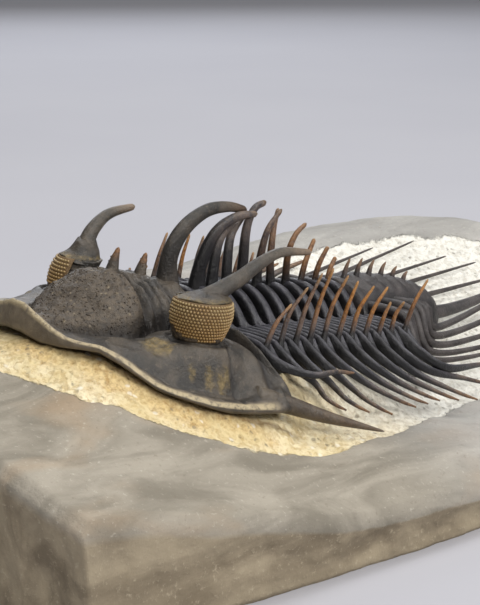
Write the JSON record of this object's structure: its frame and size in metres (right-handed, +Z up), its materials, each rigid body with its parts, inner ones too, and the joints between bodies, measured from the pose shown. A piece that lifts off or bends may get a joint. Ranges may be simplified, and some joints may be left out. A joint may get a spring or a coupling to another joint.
{
  "type": "comura trilobite",
  "caption": "Spiny Devonian trilobite with tall lensed eyes, long swept horns and free-standing spines, prepared proud of its limestone block.",
  "frame": {"origin": "middle of the block's flat sawn base, under the centre of the overall box", "axes": "+X from the head to the tail along the block's length, +Y to the animal's right, +Z up from the base"},
  "size_m": [0.101, 0.0558, 0.0279],
  "materials": {
    "matrix": "stone: pale cream granular limestone round the animal, smooth grey-brown rock beyond",
    "cephalon": "fossil calcite, satin slate grey with ochre patches and a granular middle",
    "eye": "fossil calcite, golden brown with rows of pale lenses",
    "thorax": "fossil calcite, satin blue-grey, spines turning amber",
    "pygidium": "fossil calcite, satin grey"
  },
  "bodies": {
    "root": {"matrix": "matrix", "cephalon": "cephalon", "eye_left": "eye", "eye_right": "eye", "thorax_segment_01": "thorax", "thorax_segment_02": "thorax", "thorax_segment_03": "thorax", "thorax_segment_04": "thorax", "thorax_segment_05": "thorax", "thorax_segment_06": "thorax", "thorax_segment_07": "thorax", "thorax_segment_08": "thorax", "thorax_segment_09": "thorax", "thorax_segment_10": "thorax", "thorax_segment_11": "thorax", "pygidium": "pygidium"}
  },
  "joints": []
}
